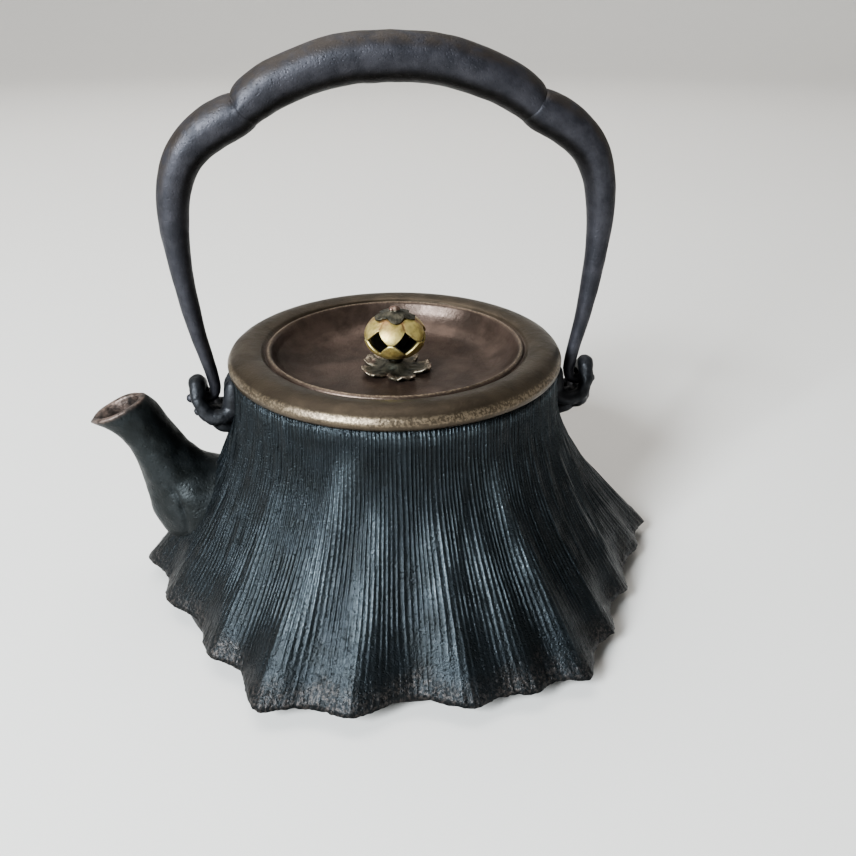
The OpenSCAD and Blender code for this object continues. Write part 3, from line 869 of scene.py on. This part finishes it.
def make_cap():
    """The calyx: five short sepals that lie on the bud, and a knobbly tip."""
    low, high = CAP[0][2], CAP[1][2]
    cols = 160
    angle, sx, sy = around(cols)
    sepal = np.abs(np.cos(2.5 * (angle - math.radians(70)))) ** 1.6
    lift = math.radians(63) - math.radians(13) * sepal
    proud = 0.6
    rows = []
    for share in (1, 0.98, 0.8, 0.6, 0.4):
        a = lift * share + math.radians(78) * (1 - share)
        r, h = BUD_R + proud, BUD_HALF + proud
        rows.append(ring_at(r * np.cos(a), BUD_Z + h * np.sin(a), sx, sy))
    shoulder = rows[-1][:, 2].mean()
    for r, z in ((3.1, shoulder + 0.2), (2.3, shoulder + 0.4), (1.6, high - 1.5), (1.4, high - 1.3),
                 (1.65, high - 1), (1.6, high - 0.7), (1.2, high - 0.25), (0.6, high - 0.02), (0.02, high)):
        rows.append(ring_at(r, z, sx, sy))
    top = np.array(rows)
    lumps = 0.45 * noise(top, 1.4, 71) + 0.2 * noise(top, 0.7, 72)
    top[..., :2] *= (1 + lumps / np.maximum(np.hypot(top[..., 0], top[..., 1]), 1))[..., None]
    top[..., 2] += 0.3 * lumps
    underside = rows[0] * [0.985, 0.985, 1] - [0, 0, 0.45]
    plug = np.array([ring_at(r, z, sx, sy) for r, z in
                     ((0.02, low), (4, low), (4, low + 1.6), (4.6, low + 1.7))])
    points = np.concatenate([plug, underside[None], top])
    tip = points[..., 2] - high + 1.4
    faces = grid_faces(len(points), cols, ends=True, flip=True)
    return mesh_piece("knob_calyx", points.reshape(-1, 3), faces, LEAF_BRONZE, "knob",
                      ["knob_cap"], {"crest": 0.4 * smooth(tip), "other": smooth(tip / 0.8)})


def make_stem():
    """The post through the knob, peened below the lid, with a collar under the bud."""
    low, high = box_mm("knob_stem")
    seat_top, foot = SEAT[1][2], BUD_LOW[0][2]
    outline = [[0.01, low[2]], [2.2, low[2]], [2.9, low[2] + 0.7], [2.9, low[2] + 1], [1.9, low[2] + 1.05],
               [1.9, seat_top + 0.12], [2.6, seat_top + 0.2], [2.7, foot - 0.3], [2.4, foot - 0.06],
               [1.9, foot], [1.9, high[2]], [0.01, high[2]]]
    cols = 64
    points = lathe(refine(rounded(outline, 0.2, closed=False), 1), cols, 0.02, 2, 81)
    # The post goes dark where it stands inside the bud: painted shade
    dark = smooth((points[..., 2] - seat_top + 0.5) / 0.3)
    faces = grid_faces(len(points), cols, ends=True, flip=True)
    return mesh_piece("knob_post", points.reshape(-1, 3), faces, BRASS, "knob", ["knob_stem"],
                      {"crest": 0 * dark, "hollow": dark})


def make_washer():
    low, high = WASHER[0][2], WASHER[1][2]
    hole_r, rim_r, cols = 1.97, WASHER[1][0], 96
    outline = rounded([[hole_r, low], [rim_r, low], [rim_r, high], [hole_r, high]], 0.3)
    points = lathe(outline, cols, 0.04, 3, 85)
    faces = grid_faces(len(points), cols, loop=True, flip=True)
    return mesh_piece("knob_washer_disc", points.reshape(-1, 3), faces, WASHER_IRON, "knob",
                      ["knob_washer"])


# ---------------------------------------------------------------- stage

def make_stage():
    """A pale floor that sweeps up all round, like the inside of a wide bowl. Its sizes are in metres."""
    flat_r, sweep_r, wall_top, drop = 2, 1.4, 3.2, 0.0002
    slope = np.linspace(0, math.pi / 2, 12)[1:]
    outline = [(0.001, 0), (0.4 * flat_r, 0), (flat_r, 0)]
    outline += [(flat_r + sweep_r * math.sin(t), sweep_r - sweep_r * math.cos(t)) for t in slope]
    outline = np.array(outline + [(flat_r + sweep_r, wall_top)])
    cols = 96
    _, sx, sy = around(cols)
    points = ring_at(outline[:, :1], outline[:, 1:] - drop, sx, sy)
    mesh = bpy.data.meshes.new("floor")
    mesh.from_pydata(points.reshape(-1, 3).tolist(), [], grid_faces(len(outline), cols))
    mesh.shade_smooth()
    floor = bpy.data.objects.new("floor", mesh)
    bpy.context.collection.objects.link(floor)
    s = Shader("floor")
    mesh.materials.append(s.finish((0.72, 0.70, 0.67, 1), 0.7, 0.0))


def make_light(name, place, target, size, watts, colour):
    """A soft box of light at a place, turned to face its target. Lengths are in metres."""
    light = bpy.data.lights.new(name, "AREA")
    light.shape, light.size, light.size_y = "RECTANGLE", size[0], size[1]
    light.energy, light.color = watts, colour
    lamp = bpy.data.objects.new(name, light)
    lamp.location = place
    lamp.rotation_euler = (Vector(target) - Vector(place)).to_track_quat("-Z", "Y").to_euler()
    bpy.context.collection.objects.link(lamp)


def make_camera():
    """The camera of the photograph, in metres."""
    data = bpy.data.cameras.new("camera")
    data.lens, data.sensor_width = 35.75, 36
    camera = bpy.data.objects.new("camera", data)
    camera.location = (-0.02305, -0.26356, 0.18756)
    camera.rotation_euler = (math.radians(62.577), math.radians(-0.1), math.radians(-7.315))
    bpy.context.collection.objects.link(camera)
    bpy.context.scene.camera = camera


def make_world():
    world = bpy.data.worlds.new("studio")
    world.use_nodes = True
    sky = world.node_tree.nodes["Background"]
    sky.inputs["Color"].default_value = (0.93, 0.96, 1, 1)
    sky.inputs["Strength"].default_value = 0.13
    bpy.context.scene.world = world
    bpy.context.scene.view_settings.look = "AgX - Medium High Contrast"


make_camera()
make_world()
make_stage()
make_light("window", (-0.9, -0.9, 0.8), (0, 0, 0.07), (0.4, 0.6), 60, (0.88, 0.95, 1))
make_light("top", (-0.3, 0.5, 1.6), (0, 0, 0), (1.4, 1.4), 18, (1, 0.98, 0.95))
make_light("backdrop", (0, 0.9, 1.6), (0, 2.6, 0.6), (2.5, 0.8), 22, (1, 0.99, 0.97))

make_body()
make_pan()
make_spout()
make_lug("lug_left_casting", -1, "lug_left", 0)
make_lug("lug_right_casting", 1, "lug_right", 1)
make_grip()
make_handle_end("handle_left_leg", -1, "handle_end_left")
make_handle_end("handle_right_leg", 1, "handle_end_right")
make_lid()
petal_ring("bud_lower_petals", "knob_petals_lower", True)
petal_ring("bud_upper_petals", "knob_petals_upper", False)
make_rosette()
make_cap()
make_stem()
make_washer()
